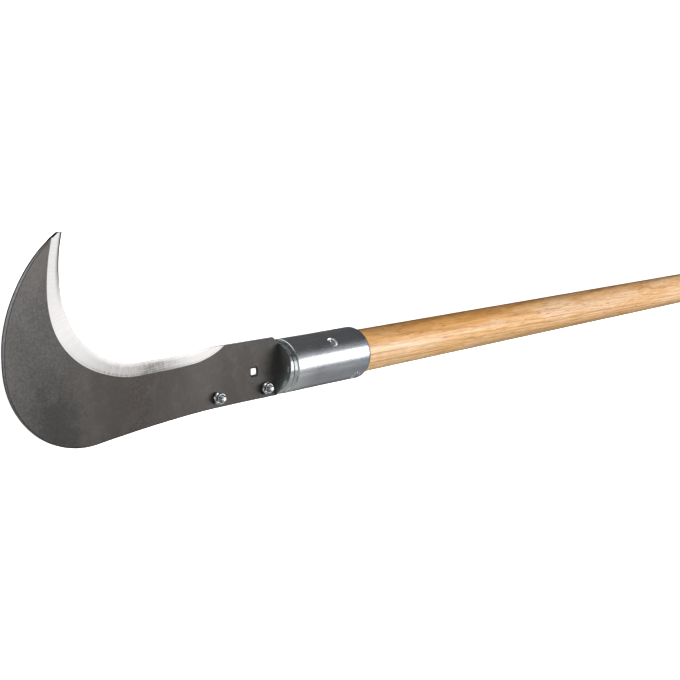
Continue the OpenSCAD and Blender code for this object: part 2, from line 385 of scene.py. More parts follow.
def rectangle(centre, long, wide):
    """Corners of a rectangle from its half sides, counter-clockwise."""
    x, y = centre
    return [(x - long, y - wide), (x + long, y - wide), (x + long, y + wide), (x - long, y + wide)]


def layers(outlines):
    """Rows of points from flat outlines and their heights."""
    return [[(*p, z) for p in outline] for outline, z in outlines]


class Shade:
    """Builds one node material with short calls. Places are object coordinates in millimetres."""

    def __init__(self, name):
        self.material = bpy.data.materials.new(name)
        self.material.use_nodes = True
        self.tree = self.material.node_tree
        self.tree.nodes.clear()
        self.tone = None
        self.bsdf = self.add("BsdfPrincipled")
        self.add("OutputMaterial", {0: self.bsdf.outputs[0]})
        self.place = self.scaled(self.add("TexCoord").outputs["Object"], (1000, 1000, 1000))
        self.x, self.y, _ = self.split(self.place)

    def add(self, kind, inputs=None, **settings):
        """A new node with its settings, and with values or links on its inputs."""
        node = self.tree.nodes.new("ShaderNode" + kind)
        for key, value in settings.items():
            setattr(node, key, value)
        for key, value in (inputs or {}).items():
            self.put(node.inputs[key], value)
        return node

    def put(self, socket, value):
        if isinstance(value, bpy.types.NodeSocket):
            self.tree.links.new(value, socket)
        elif isinstance(value, tuple) and socket.type == "RGBA":
            socket.default_value = (*value, 1.0)
        else:
            socket.default_value = value

    def set(self, **values):
        """Sets or links inputs of the surface shader. Underscores in names stand for spaces."""
        for key, value in values.items():
            self.put(self.bsdf.inputs[key.replace("_", " ")], value)

    def scaled(self, vector, factors):
        return self.add("VectorMath", {0: vector, 1: factors}, operation="MULTIPLY").outputs[0]

    def joined(self, x, y, z):
        return self.add("CombineXYZ", {0: x, 1: y, 2: z}).outputs[0]

    def split(self, vector):
        return self.add("SeparateXYZ", {0: vector}).outputs

    def length(self, vector):
        return self.add("VectorMath", {0: vector}, operation="LENGTH").outputs["Value"]

    def math(self, operation, a, b=0, clamp=False):
        return self.add("Math", {0: a, 1: b}, operation=operation, use_clamp=clamp).outputs[0]

    times = partialmethod(math, "MULTIPLY")
    plus = partialmethod(math, "ADD")
    minus = partialmethod(math, "SUBTRACT")

    def noise(self, vector, detail=3, rough=0.5, distort=0):
        inputs = {"Vector": vector, "Scale": 1, "Detail": detail, "Roughness": rough}
        return self.add("TexNoise", {**inputs, "Distortion": distort}).outputs[0]

    def patches(self, factors, vector=None, **settings):
        """Noise over the piece in millimetres, or over another vector, with a factor for each axis."""
        return self.noise(self.scaled(vector or self.place, factors), **settings)

    def span(self, value, low, high, to_low=0, to_high=1, smooth=False):
        inputs = {"Value": value, "From Min": low, "From Max": high, "To Min": to_low, "To Max": to_high}
        kind = "SMOOTHSTEP" if smooth else "LINEAR"
        return self.add("MapRange", inputs, interpolation_type=kind).outputs[0]

    def vary(self, noise, low=0, high=1):
        """Spreads the usual run of a noise over a range."""
        return self.span(noise, 0.3, 0.7, low, high)

    def ramp(self, value, stops):
        """Colour by value. A stop with one number is grey."""
        node = self.add("ValToRGB", {0: value})
        marks = node.color_ramp.elements
        while len(marks) < len(stops):
            marks.new(0.5)
        for mark, (at, colour) in zip(marks, stops):
            mark.position = at
            mark.color = (*(colour if isinstance(colour, tuple) else grey(colour)), 1.0)
        return node.outputs[0]

    def mix(self, share, a, b, blend="MIX"):
        return self.add("Mix", {0: share, 6: a, 7: b}, data_type="RGBA", blend_type=blend).outputs[2]

    def tint(self, share, colour, blend="MIX"):
        """Mixes a colour into the tone so far."""
        self.tone = self.mix(share, self.tone, colour, blend)

    def edge_uv(self):
        along, across, _ = self.split(self.add("UVMap", uv_map="along_edge").outputs[0])
        return along, across

    def done(self, metal, rough, height, strength, distance, gloss=0.5):
        """The finished material: the tone so far, a roughness, bumps of a height and a gloss."""
        inputs = {"Height": height, "Strength": strength, "Distance": distance}
        self.set(Base_Color=self.tone, Metallic=metal, Roughness=rough, Specular_IOR_Level=gloss)
        self.set(Normal=self.add("Bump", inputs).outputs[0])
        return self.material


def grey(value):
    """The same number three times."""
    return (value, value, value)


def blade_scale():
    """Dark rolled skin of the blade's faces, browner by the tang and greyer by the spine; that lighter
    grey is partly painted reflection.
    """
    s = Shade("blade_scale")
    cloud = s.patches((0.026, 0.014, 0.02), detail=4, rough=0.6, distort=0.5)
    blotch = s.patches(grey(0.09), detail=4, rough=0.65)
    grit = s.patches(grey(0.55), detail=4, rough=0.7)
    fine = s.patches(grey(1.6), detail=2, rough=0.6)
    shift = s.times(s.minus(cloud, 0.5), 110)
    reach = s.minus(s.plus(s.x, shift), s.times(s.y, 0.35))
    # Partly painted reflection: the tone is lighter and greyer towards the spine, over the skin's own
    # mottled tones
    s.tone = s.ramp(s.span(reach, -390, -120), [
        (0, (0.15, 0.143, 0.137)), (0.07, (0.116, 0.11, 0.105)), (0.2, (0.088, 0.082, 0.077)),
        (0.32, (0.058, 0.05, 0.045)), (0.52, (0.048, 0.039, 0.034)), (0.72, (0.077, 0.068, 0.063)),
        (0.86, (0.05, 0.041, 0.036)), (1, (0.044, 0.04, 0.036)),
    ])
    # A dark patch with a ragged rim, which leans with the blade
    spot_y = s.plus(s.y, 14)
    spot_x = s.plus(s.plus(s.x, 333), s.times(spot_y, 0.26))
    spot = s.joined(s.times(spot_x, 0.056), s.times(spot_y, 0.025), 0)
    ragged = s.plus(s.length(spot), s.vary(blotch, -0.4, 0.4))
    s.tint(s.span(blotch, 0.5, 0.72, 0, 0.35), (0.1, 0.094, 0.088))
    coarse = s.span(s.x, -340, -290, 0.5, 0.1)
    s.tint(s.times(s.span(grit, 0.32, 0.66, 1, 0), coarse), (0.02, 0.018, 0.017))
    s.tint(s.times(s.span(grit, 0.46, 0.74, 0, 0.6), coarse), (0.14, 0.133, 0.128))
    s.tint(s.span(ragged, 0.3, 1.35, 0.62, 0, smooth=True), (0.026, 0.024, 0.022))
    s.tint(s.span(s.y, 66, 112, 0, 0.36, smooth=True), (0.15, 0.134, 0.128))
    rough = s.plus(s.span(s.x, -290, -170, 0.3, 0.19), s.span(s.x, -162, -130, 0, 0.13))
    rough = s.plus(s.vary(grit, -0.02, 0.02), rough)
    height = s.plus(s.times(fine, 0.4), grit)
    return s.done(0, rough, height, 0.02, 0.0003, gloss=0.22)


def blade_ground():
    """Bright ground steel of the bevel, with marks across it and a greyer stretch past the throat."""
    s = Shade("blade_ground")
    along, across = s.edge_uv()
    marks = s.noise(s.joined(s.times(along, 75), s.times(across, 1.2), 0), rough=0.65)
    drift = s.noise(s.joined(s.times(along, 14), s.times(across, 2.5), 3), detail=2)
    share = s.times(along, 0.4)
    coarse = s.ramp(share, [
        (0.28, 0), (0.36, 0.16), (0.46, 0.5), (0.56, 0.58), (0.59, 0.86),
        (0.64, 0.86), (0.66, 0.66), (0.72, 0.4), (0.84, 0.14),
    ])
    deep = s.span(s.plus(across, s.vary(drift, -0.05, 0.05)), 0, 0.4, smooth=True)
    lines = s.noise(s.joined(s.times(along, 6), s.times(across, 13), 7), rough=0.6)
    lined = s.times(s.vary(lines, -0.3, 0.3), s.span(along, 1.36, 1.48, 0.15, 1))
    scratched = s.times(s.vary(marks, -0.24, 0.24), s.span(along, 0.95, 1.15, 1, 1.6))
    ragged = s.plus(scratched, lined)
    dull = s.times(coarse, s.plus(deep, ragged), clamp=True)
    level = s.ramp(share, [
        (0, (0.36, 0.357, 0.352)), (0.18, (0.39, 0.378, 0.374)), (0.28, (0.435, 0.425, 0.42)),
        (0.36, (0.425, 0.414, 0.408)), (0.7, (0.44, 0.425, 0.418)), (0.79, (0.52, 0.505, 0.5)),
    ])
    gleam = s.times(s.vary(marks, 0, 0.18), s.span(along, 0.6, 1, 0.5, 1))
    bright = s.mix(gleam, level, (1, 0.985, 0.975))
    # Painted shade: a dark strip along the edge by the tip, fading across the bevel and along the edge,
    # so that the rolled strip there shows no highlight
    painted_edge_shade = s.ramp(along, [(0, 0.97), (0.12, 0.95), (0.28, 0.84), (0.44, 0.34), (0.56, 0)])
    painted_edge_shade = s.times(painted_edge_shade, s.span(across, 0.04, 0.44, 1, 0, smooth=True))
    bright = s.mix(painted_edge_shade, bright, grey(0.012))
    rim = s.times(s.span(across, 0.82, 0.87), s.span(across, 0.9, 0.94, 1, 0))
    rim = s.times(rim, s.times(coarse, s.span(marks, 0.42, 0.56, 0, 1.3)), clamp=True)
    bright = s.mix(rim, bright, (0.12, 0.118, 0.115))
    s.tone = s.mix(dull, bright, (0.135, 0.133, 0.13))
    brim = s.span(across, 0.66, 0.98, 0, 0.75, smooth=True)
    brim = s.times(brim, s.span(ragged, -0.3, 0.3, 0.3, 1))
    s.tint(s.times(brim, coarse), (0.1, 0.098, 0.095))
    return s.done(1, s.vary(marks, 0.28, 0.36), marks, 0.05, 0.0003)


def blade_side(name, stops, gloss):
    """Sheared steel of the blade's narrow side, with its tones from belly to tip and the tip's gloss."""
    s = Shade(name)
    marks = s.patches((0.5, 0.5, 2.5))
    pale = s.ramp(s.span(s.y, -40, 130), stops)
    s.tone = s.mix(s.vary(marks, 0, 0.4), pale, grey(0.006))
    return s.done(0, s.vary(marks, 0.4, 0.55), marks, 0.15, 0.0003, s.span(s.y, 60, 100, 0.2, gloss))


def plain(name, fine, low, high, metal, rough, strength, spread=(0.3, 0.7), grain=0.5, gloss=0.5):
    """Two colours mixed by marks of one fineness, over a range of roughness."""
    s = Shade(name)
    marks = s.patches(grey(fine), rough=grain)
    s.tone = s.mix(s.span(marks, *spread), low, high)
    return s.done(metal, s.vary(marks, *rough), marks, strength, 0.0002, gloss)


def zinc(name, low, high, rough, low_reflection_colour=None, tint_x=400, dulled=0):
    """Bright plated steel with faint clouds, rubbing along the axis and a bluish cast past one place.

    Low down on the socket's front, a lighter colour paints a reflection from below, and the surface may
    be dulled.
    """
    s = Shade(name)
    cloud = s.patches(grey(0.045), detail=2)
    rub = s.patches((0.03, 0.35, 0.35), detail=2)
    smudge = s.patches((0.08, 0.11, 0.11), rough=0.6)
    s.tone = s.mix(s.span(cloud, 0.35, 0.7), low, high)
    s.tint(s.span(smudge, 0.55, 0.75, 0, 0.3), (0.36, 0.37, 0.39))
    s.tint(s.span(rub, 0.4, 0.7, 0, 0.25), (0.66, 0.67, 0.68))
    blue = s.times(s.span(s.x, tint_x, tint_x + 14), s.span(cloud, 0.4, 0.6, 0.2, 0.7))
    s.tint(blue, (0.36, 0.42, 0.56))
    # Painted reflection: a lighter colour low on the socket's front, fading back along the tube
    painted_low_reflection = s.times(s.span(s.x, -102, -78, 0.85, 0), s.span(s.y, -7, 2, 1, 0))
    s.tint(painted_low_reflection, low_reflection_colour or high)
    haze = s.plus(s.span(smudge, 0.45, 0.75, 0, 0.05), s.span(s.y, -19, -4, dulled, 0))
    rough = s.plus(s.vary(rub, rough - 0.02, rough + 0.02), haze)
    return s.done(1, rough, cloud, 0.06, 0.0006)


def ash():
    """Varnished ash: long streaks, fine fibres, slanted growth rings, pores and warm colour changes, with
    painted highlight and shade.
    """
    s = Shade("ash")
    # The grain wanders a little along the handle
    slow = s.add("TexNoise", {"Vector": s.scaled(s.place, (0.0045, 0.015, 0.015)), "Detail": 1})
    bend = s.scaled(slow.outputs[1], (0, 3, 3))
    grain = s.add("VectorMath", {0: s.place, 1: bend}, operation="ADD").outputs[0]
    long = s.patches((0.007, 0.17, 0.17), grain, detail=2)
    fibre = s.patches((0.009, 0.8, 0.8), grain, detail=2, rough=0.6)
    patch = s.patches((0.01, 0.06, 0.06), grain, detail=2)
    fleck = s.patches((0.07, 1.1, 1.1), grain, detail=2, rough=0.65)
    pores = s.patches((0.055, 0.75, 0.75), grain, detail=1)
    # Growth rings about a centre outside the handle
    turn = radians(40)
    x, y, z = s.split(grain)
    face = s.plus(s.times(y, cos(turn)), s.times(z, sin(turn)))
    side = s.minus(s.times(z, cos(turn)), s.times(y, sin(turn)))
    depth = s.plus(s.plus(face, 70), s.times(x, 0.02))
    rings = s.math("FRACT", s.math("DIVIDE", s.length(s.joined(0, depth, side)), 3.6))
    # Streaks of three colours, then changes of tone along and across the handle, among them a painted
    # highlight and painted shade
    tan, orange, cream = (0.77, 0.445, 0.18), (0.75, 0.375, 0.108), (0.81, 0.55, 0.335)
    upper = s.times(s.span(s.y, -4, 17, -0.08, 0.26), s.span(s.x, 120, 400, 1, 0.1))
    s.tone = s.mix(s.span(s.plus(long, upper), 0.46, 0.64), tan, orange)
    # Painted highlight: cream near the socket on the middle and lower side, fading along the handle
    near = s.times(s.span(s.x, 10, 130, 0.6, 0), s.span(s.y, 0, 11, 1, 0))
    far = s.plus(s.span(s.x, 180, 430, 0, 0.55), near)
    pale = s.minus(s.span(patch, 0.46, 0.62, 0, 0.75), s.times(upper, 2.2), clamp=True)
    s.tint(s.plus(pale, far, clamp=True), cream)
    s.tint(s.span(s.y, -17, -4, 0.4, 0), (0.7, 0.5, 0.2))
    s.tint(s.span(s.x, 90, 330, 0, 1), (0.86, 0.86, 0.88), "MULTIPLY")
    late = s.times(s.span(s.x, 300, 560), s.span(s.y, 4, 14, 1, 0))
    s.tint(late, grey(0.9), "MULTIPLY")
    # Painted shade: the low side is darker and cooler along the handle's first stretch
    painted_low_shade = s.times(s.span(s.y, -18, -6, 1, 0), s.span(s.x, 60, 260))
    s.tint(painted_low_shade, (0.66, 0.68, 0.74), "MULTIPLY")
    # Ring lines, fibres, flecks, long dark lines, painted shade along the top, and pores
    ring_line = s.ramp(rings, [(0, 0.95), (0.16, 0.1), (0.7, 0), (0.96, 0.7)])
    s.tint(s.times(ring_line, s.span(patch, 0.4, 0.62, 0.85, 0.4)), (0.4, 0.165, 0.035))
    s.tint(s.span(fibre, 0.28, 0.5, 0.5, 0), (0.36, 0.155, 0.035))
    s.tint(s.span(fibre, 0.54, 0.76, 0, 0.45), (0.9, 0.64, 0.36))
    s.tint(s.span(fleck, 0.28, 0.48, 0.42, 0), (0.4, 0.19, 0.055))
    s.tint(s.span(fleck, 0.54, 0.74, 0, 0.45), (0.94, 0.68, 0.42))
    line = s.patches((0.0035, 0.95, 0.95), detail=1)
    lined = s.times(s.span(line, 0.6, 0.68), s.span(s.y, -8, 6, 0.7, 0.15))
    s.tint(lined, (0.3, 0.14, 0.04))
    # Painted shade: darker and warmer along the top of the handle
    s.tint(s.span(s.y, 12, 20, 0, 0.5), (1, 0.9, 0.66), "MULTIPLY")
    dash = s.span(pores, 0.66, 0.73)
    s.tint(s.times(dash, 0.65), (0.2, 0.08, 0.025))
    varnish = s.span(s.add("LayerWeight").outputs["Facing"], 0.36, 0.7, 0.9, 0.1)
    s.set(Coat_Weight=varnish, Coat_IOR=1.75, Coat_Roughness=s.vary(fleck, 0.3, 0.4))
    height = s.minus(s.plus(s.times(fibre, 0.6), long), dash)
    return s.done(0, s.vary(fibre, 0.6, 0.48), height, 0.06, 0.0005, gloss=0.05)


def pale_floor():
    """Plain white sweep that glows a little, so that the tool stands on white."""
    s = Shade("pale_floor")
    drift = s.patches(grey(0.001), detail=1)
    s.set(Base_Color=s.mix(drift, grey(0.8), grey(0.84)), Roughness=0.9)
    s.set(Emission_Color=grey(1), Emission_Strength=1)
    return s.material


SCALE = blade_scale()
GROUND = blade_ground()
SIDE = blade_side("blade_side", [(0.1, 0.03), (0.5, 0.045), (0.7, 0.03), (0.86, 0.004)], 0)
CHAMFER_TONES = [(0.1, 0.06), (0.35, 0.24), (0.55, 0.42), (0.82, 0.5), (0.94, 0.24)]
CHAMFER = blade_side("blade_chamfer", CHAMFER_TONES, 0.3)
CORNER = plain("blade_corner", 0.25, (0.01, 0.01, 0.009), (0.045, 0.042, 0.04), 0, (0.3, 0.45), 0.1,
               spread=(0.35, 0.65), gloss=0.2)
PUNCHED = plain("punched_steel", 0.9, grey(0.8), grey(0.95), 1, (0.18, 0.26), 0.08, grain=0.6)
TURNED = plain("turned_steel", 0.9, (0.8, 0.81, 0.82), grey(0.95), 1, (0.34, 0.42), 0.08, grain=0.6)
# The fourth colour given to zinc, where there is one, is its painted reflection low on the socket's front
TUBE_ZINC = zinc("tube_zinc", (0.45, 0.47, 0.5), (0.53, 0.55, 0.58), 0.27, (0.86, 0.87, 0.88), tint_x=-26)
CAP_ZINC = zinc("cap_zinc", (0.56, 0.64, 0.62), (0.66, 0.74, 0.72), 0.2, (0.72, 0.82, 0.8), dulled=0.22)
RING_ZINC = zinc("ring_zinc", (0.37, 0.4, 0.41), (0.43, 0.46, 0.47), 0.2, (0.74, 0.77, 0.77))
THREAD_ZINC = zinc("thread_zinc", (0.2, 0.21, 0.22), (0.28, 0.29, 0.3), 0.26)
BOLT_ZINC = zinc("bolt_zinc", (0.5, 0.52, 0.54), (0.64, 0.66, 0.68), 0.22)
NYLON = plain("nylon", 0.8, (0.06, 0.075, 0.09), (0.1, 0.12, 0.14), 0, (0.4, 0.55), 0.1)
ASH = ash()


# The cutting edge as a path: the tip stretch, the throat, the straight edge and the run-out
TIP_ANGLE = pi - asin((TIP_Y - TIP_EDGE_C[1]) / TIP_EDGE_R)
TIP_LENGTH = TIP_EDGE_R * (pi + THROAT_TURN - TIP_ANGLE)
THROAT_LENGTH = THROAT_R * (pi / 2 - THROAT_TURN)
STRAIGHT_LENGTH = RUNOUT_C[0] - THROAT_C[0]
RUNOUT_START = TIP_LENGTH + THROAT_LENGTH + STRAIGHT_LENGTH
SPINE_C = np.array([SPINE_X + SPINE_R, SPINE_Y])
BELLY_C = np.array([SPINE_X + BELLY_R, SPINE_Y])

# By distance along the edge from the tip: the bevel's width, the width of the rolled strip next to the
# edge, and how much steeper the very edge is than the bevel
BEVEL_WIDTHS = ((0, 8), (10, 8.5), (20, 9.35), (30, 10.35), (51, 12.9), (70, 15), (87, 14.6),
                (104, 12.7), (116, 11.3), (130, 10.6), (140, 10.3), (163, 10), (178, 9.6),
                (193, 8.7), (208, 8.4), (227, 10.2))
ROLLED_WIDTHS = ((0, 2.6), (14, 2.6), (28, 2.2), (44, 1.6), (62, 1), (110, 1), (235, 1))
ROLLED_SLOPES = ((0, 0.42), (28, 0.34), (44, 0.2), (62, 0), (110, 0), (235, 0))
# Rows of points along the edge, and steps across the rolled strip and the rest of the bevel
EDGE_ROWS = 220
ROLLED_STEPS = 8
BEVEL_STEPS = 4
# By place across the tool: the width of the chamfer along the spine
CHAMFER_WIDTHS = ((-35, 0.35), (10, 0.6), (40, 1.1), (70, 1.4), (95, 1.3), (112, 0.9), (125, 0.7))
# By distance along the outer path from the bevel's end at the tip: the shift of the outline
OUTLINE_TRIM = ((0, 0), (20, 0.1), (45, 0), (70, 0.25), (85, 0.1), (99, -0.45), (112, -0.75),
                (130, -0.95), (155, -1.05), (172, -0.9), (186, -0.8), (201, -0.6), (225, 0),
                (245, 0.5), (280, 0.8), (305, 0.7), (325, 0.55), (350, 0.55), (385, 0.5),
                (393, 0.4), (400, 0), (700, 0))


def edge_station(at):
    """Point on the nominal edge and the direction into the metal, at a distance from the tip."""
    if at <= TIP_LENGTH:
        out = heading(TIP_ANGLE + at / TIP_EDGE_R)
        return TIP_EDGE_C + TIP_EDGE_R * out, out
    at -= TIP_LENGTH
    if at <= THROAT_LENGTH:
        out = heading(pi + THROAT_TURN + at / THROAT_R)
        return THROAT_C + THROAT_R * out, out
    at -= THROAT_LENGTH
    if at <= STRAIGHT_LENGTH:
        return np.array([THROAT_C[0] + at, EDGE_Y]), np.array([0, -1])
    out = heading(1.5 * pi + (at - STRAIGHT_LENGTH) / RUNOUT_R)
    return RUNOUT_C + RUNOUT_R * out, out


def reach_out(at):
    """Distances from the edge to the spine and to the blunt tip, along the station's direction."""
    origin, out = edge_station(at)
    away = origin - SPINE_C
    along = away @ out
    spine = -along + sqrt(along * along - away @ away + SPINE_R * SPINE_R)
    if out[1] > 1e-9:
        return spine, max(0, (TIP_Y - origin[1]) / out[1])
    return spine, inf


def reach_in(at):
    """Distance from the nominal edge to the metal, which grows where the edge runs out at the top."""
    origin, out = edge_station(at)
    if at <= RUNOUT_START or origin[1] <= TANG_TOP:
        return 0
    return (TANG_TOP - origin[1]) / out[1]


def bevel_width(at):
    return spline(BEVEL_WIDTHS, at)


def bevel_half(at, d):
    """Half the blade's thickness at a distance from the edge: a flat bevel, rolled over at the edge."""
    rolled = spline(ROLLED_WIDTHS, at)
    extra = spline(ROLLED_SLOPES, at)
    full = FRONT_Z - MID_Z
    slope = (full - EDGE_HALF - extra * rolled / 2) / bevel_width(at)
    t = min(d / rolled, 1)
    rise = slope * d + extra * rolled * (t - t * t / 2)
    return min(full, EDGE_HALF + rise)


def solve(test, low, high):
    """Where a test changes from true to false, by halving."""
    for _ in range(60):
        mid = (low + high) / 2
        if test(mid):
            low = mid
        else:
            high = mid
    return (low + high) / 2


def along_path(path):
    """Distance of each point from the path's start."""
    return np.cumsum([0] + [float(np.hypot(*np.subtract(a, b))) for a, b in zip(path, path[1:])])


def cap_place(y, z):
    """Place along the axis of the cap's slightly slanted face."""
    return CAP_FACE_X + CAP_TILT * y + cap_drop(hypot(y, z))


def cap_drop(r):
    """How far the cap's domed face falls back at a distance from the axis."""
    reach = CAP_RIM_R - CAP_FLAT_R
    t = max(0, (r - CAP_FLAT_R) / reach)
    return CAP_SLOPE * reach / CAP_POWER * t ** CAP_POWER


def bevel_rows(marks, tip_ends):
    """Rows of points across the front and back of the bevel, and their places along and across it."""
    front, back, places = [], [], []
    for at in marks:
        origin, out = edge_station(at)
        width = bevel_width(at)
        near = reach_in(at)
        far = max(min(width, *reach_out(at)), near)
        rolled = min(max(spline(ROLLED_WIDTHS, at), near), far)
        brink = max(rolled, far - TIP_BLACK) if at <= tip_ends else far
        stops = [near + (rolled - near) * t / ROLLED_STEPS for t in range(ROLLED_STEPS)]
        stops += [rolled + (brink - rolled) * t / BEVEL_STEPS for t in range(BEVEL_STEPS + 1)]
        stops.append(far)
        flats = [origin + out * d for d in stops]
        halves = [bevel_half(at, d) for d in stops]
        front.append([(*p, MID_Z + half) for p, half in zip(flats, halves)])
        back.append([(*p, MID_Z - half) for p, half in zip(flats, halves)])
        places.append([(at / 100, d / width) for d in stops])
    return front, back, places


def outer_path(start, end):
    """Outline from the bevel's end at the tip round spine, belly and tang to its end at the run-out."""
    under_y = TANG_BOTTOM - UNDER_R
    under_x = BELLY_C[0] + sqrt((BELLY_R + UNDER_R) ** 2 - (SPINE_Y - under_y) ** 2)
    join = degrees(atan2(under_y - SPINE_Y, under_x - BELLY_C[0]))
    spine_end = degrees(atan2(start[1] - SPINE_C[1], start[0] - SPINE_C[0]))
    path = arc(SPINE_C, SPINE_R, spine_end, 180, 90)
    path += arc(BELLY_C, BELLY_R, 180, 360 + join, 90)[1:]
    path += arc((under_x, under_y), UNDER_R, 180 + join, 90, 40)[1:]
    low_x = cap_place(TANG_BOTTOM, MID_Z)
    for x in np.linspace(under_x, low_x, 30)[1:]:
        share = max(0, (x - TANG_SAG_X) / (low_x - TANG_SAG_X))
        path.append((x, TANG_BOTTOM - TANG_SAG * share ** 2))
    for y in np.linspace(TANG_BOTTOM + 1, TANG_SLANT_Y, 16):
        path.append((cap_place(y, MID_Z), y))
    path += [(x, TANG_TOP) for x in np.linspace(TANG_SLANT_X, end[0], 11)]
    path[0], path[-1] = start, end
    shift = [-spline(OUTLINE_TRIM, at) for at in along_path(path)]
    return inset(path, corner_normals(path, closed=False), shift)


def build_blade():
    built = Mesh()
    scale, ground, side, corner, chamfer, punched = range(6)
    tip_corner = solve(lambda at: reach_out(at)[1] < reach_out(at)[0], 0, 20)
    tip_ends = solve(lambda at: reach_out(at)[0] < bevel_width(at), tip_corner, 40)
    top_meets = solve(lambda at: reach_in(at) < bevel_width(at), RUNOUT_START, RUNOUT_START + 60)
    edge_ends = solve(lambda at: reach_in(at) <= 0, RUNOUT_START, top_meets)
    marks = sorted([*np.linspace(0, top_meets, EDGE_ROWS), tip_corner, tip_ends, edge_ends])
    front, back, places = bevel_rows(marks, tip_ends)
    for rows in (front, back):
        built.strip([row[:-1] for row in rows], ground, uvs=[row[:-1] for row in places])
        built.strip([row[-2:] for row in rows], side, uvs=[row[-2:] for row in places])
    inner = [[f[0], b[0]] for f, b in zip(front, back)]
    exposed = int(np.searchsorted(marks, edge_ends - EDGE_DARK))
    built.strip(inner[:exposed + 1], ground)
    built.strip(inner[exposed:], side)
    built.strip([[f[-1], b[-1]] for f, b, at in zip(front, back, marks) if at <= tip_ends], side)

    boundary = [f[-1][:2] for f, at in zip(front, marks) if at >= tip_ends]
    path = outer_path(boundary[0], boundary[-1])
    out = corner_normals(path, closed=False)
    steps = along_path(path)
    fade = np.minimum(1, np.minimum(steps, steps[-1] - steps) / FADE)
    fade *= [x <= cap_place(y, MID_Z) - CAP_NEAR for x, y in path]
    widths = [spline(CHAMFER_WIDTHS, y) if x < SPINE_END_X else PLAIN_CHAMFER for x, y in path]
    wide = np.array(widths) * fade
    ease = BACK_EASE * fade
    slant = inset(path, out, wide)
    rim = inset(path, out, wide + CORNER_LINE * fade)
    back_rim = inset(path, out, ease)
    walls = []
    for p, s, r, b, w, e in zip(path, slant, rim, back_rim, wide, ease):
        upper = [(*r, FRONT_Z), (*s, FRONT_Z - CHAMFER_TOP * w), (*p, FRONT_Z - CHAMFER_FALL * w)]
        walls.append([*upper, (*p, BACK_Z + e), (*b, BACK_Z)])
    for first, slot in enumerate((corner, chamfer, side, corner)):
        built.strip([row[first:first + 2] for row in walls], slot)

    rounds = []
    for centre, half in [((x, BOLT_Y), HOLE_HALF) for x in BOLT_XS] + [(SPARE_HOLE, SPARE_HALF)]:
        big = rounded(centre, half + DISH, DISH_CORNER)
        tight = rounded(centre, half, HOLE_CORNER)
        rows = layers([(big, FRONT_Z), (tight, FRONT_Z - DISH_DEPTH),
                       (tight, BACK_Z + DISH_BACK_DEPTH), (big, BACK_Z)])
        for first, slot in enumerate((corner, punched, side)):
            built.wrap(rows[first:first + 2], slot)
        rounds.append(big)
    inside = boundary[::-1][1:-1]
    built.flat([rim + inside] + rounds, FRONT_Z, scale)
    built.flat([back_rim + inside] + rounds, BACK_Z, scale)
    skins = [SCALE, GROUND, SIDE, CORNER, CHAMFER, PUNCHED]
    make("blade_steel", built, skins, "blade", sharp=4.5)


def sagged(ring, sag):
    """Ring whose lower side hangs down a little."""
    return [(x, y - sag * (max(0, -y) / CAP_R) ** 2, z) for x, y, z in ring]


def build_cap():
    """End cap whose face sits a little askew: the slant fades out along its side."""
    built = Mesh()
    face = [(CAP_FACE_X, CENTRE_R), (CAP_FACE_X, CAP_FLAT_R)]
    face += [(CAP_FACE_X + cap_drop(r), r) for r in np.linspace(CAP_FLAT_R + 0.6, CAP_RIM_R, 20)]
    rim_x = CAP_FACE_X + cap_drop(CAP_RIM_R)
    for a in np.linspace(0.12, pi / 2, 12):
        face.append((rim_x + CAP_EASE * (1 - cos(a)), CAP_RIM_R + CAP_EASE * sin(a)))
    seam = [(SEAM_X - 0.8, CAP_R), (SEAM_X - 0.2, CAP_R - 0.45), (SEAM_X, CAP_R - 1)]
    spigot = [(SEAM_X, SPIGOT_R), (SPIGOT_END_X, SPIGOT_R), (SPIGOT_END_X, CENTRE_R)]
    rings = []
    for tilt, outline in ((CAP_TILT, face), (0, seam + spigot)):
        for x, r in outline:
            ring = sagged(ring_x(x, r), CAP_SAG if r > BORE_R else 0)
            rings.append([(p[0] + tilt * p[1], p[1], p[2]) for p in ring])
    built.wrap(rings[:len(face)], 0)
    built.wrap(rings[len(face) - 1:], 1)
    make("cap", built, [CAP_ZINC, RING_ZINC], "end_cap")


def cut(piece, tools, sharp):
    """Takes the tools' shapes out of a piece and removes the tools."""
    for tool in tools:
        step = piece.modifiers.new("cut", "BOOLEAN")
        step.operation = "DIFFERENCE"
        step.solver = "EXACT"
        step.use_self = True
        step.object = tool
    bpy.context.view_layer.update()
    graph = bpy.context.evaluated_depsgraph_get()
    fresh = bpy.data.meshes.new_from_object(piece.evaluated_get(graph))
    piece.modifiers.clear()
    piece.data = fresh
    fresh.set_sharp_from_angle(angle=radians(sharp))
    for tool in tools:
        bpy.data.objects.remove(tool)


def screw_frame(x, turn, spin, lean, lift=0):
    """Turns local millimetres into the screw's place: +Z leads out of the tube, but for the lean."""
    a = radians(turn)
    out = Vector((0, cos(a), sin(a)))
    along = Vector((1, 0, 0))
    basis = Matrix((along, out.cross(along), out)).transposed()
    basis = basis @ Matrix.Rotation(radians(lean), 3, "Y")
    basis = basis @ Matrix.Rotation(radians(spin), 3, "Z")
    return lambda p: tuple(basis @ Vector((p[0], p[1], p[2] + lift)) + out * SOCKET_R + along * x)


def spun(built, profile, place, slot=0):
    """Turns an outline of radius and height about a local upright axis and sets it in its place."""
    built.shell([[place(p) for p in ring_z((0, 0), z, r, HEAD_STEPS)] for r, z in profile], slot)


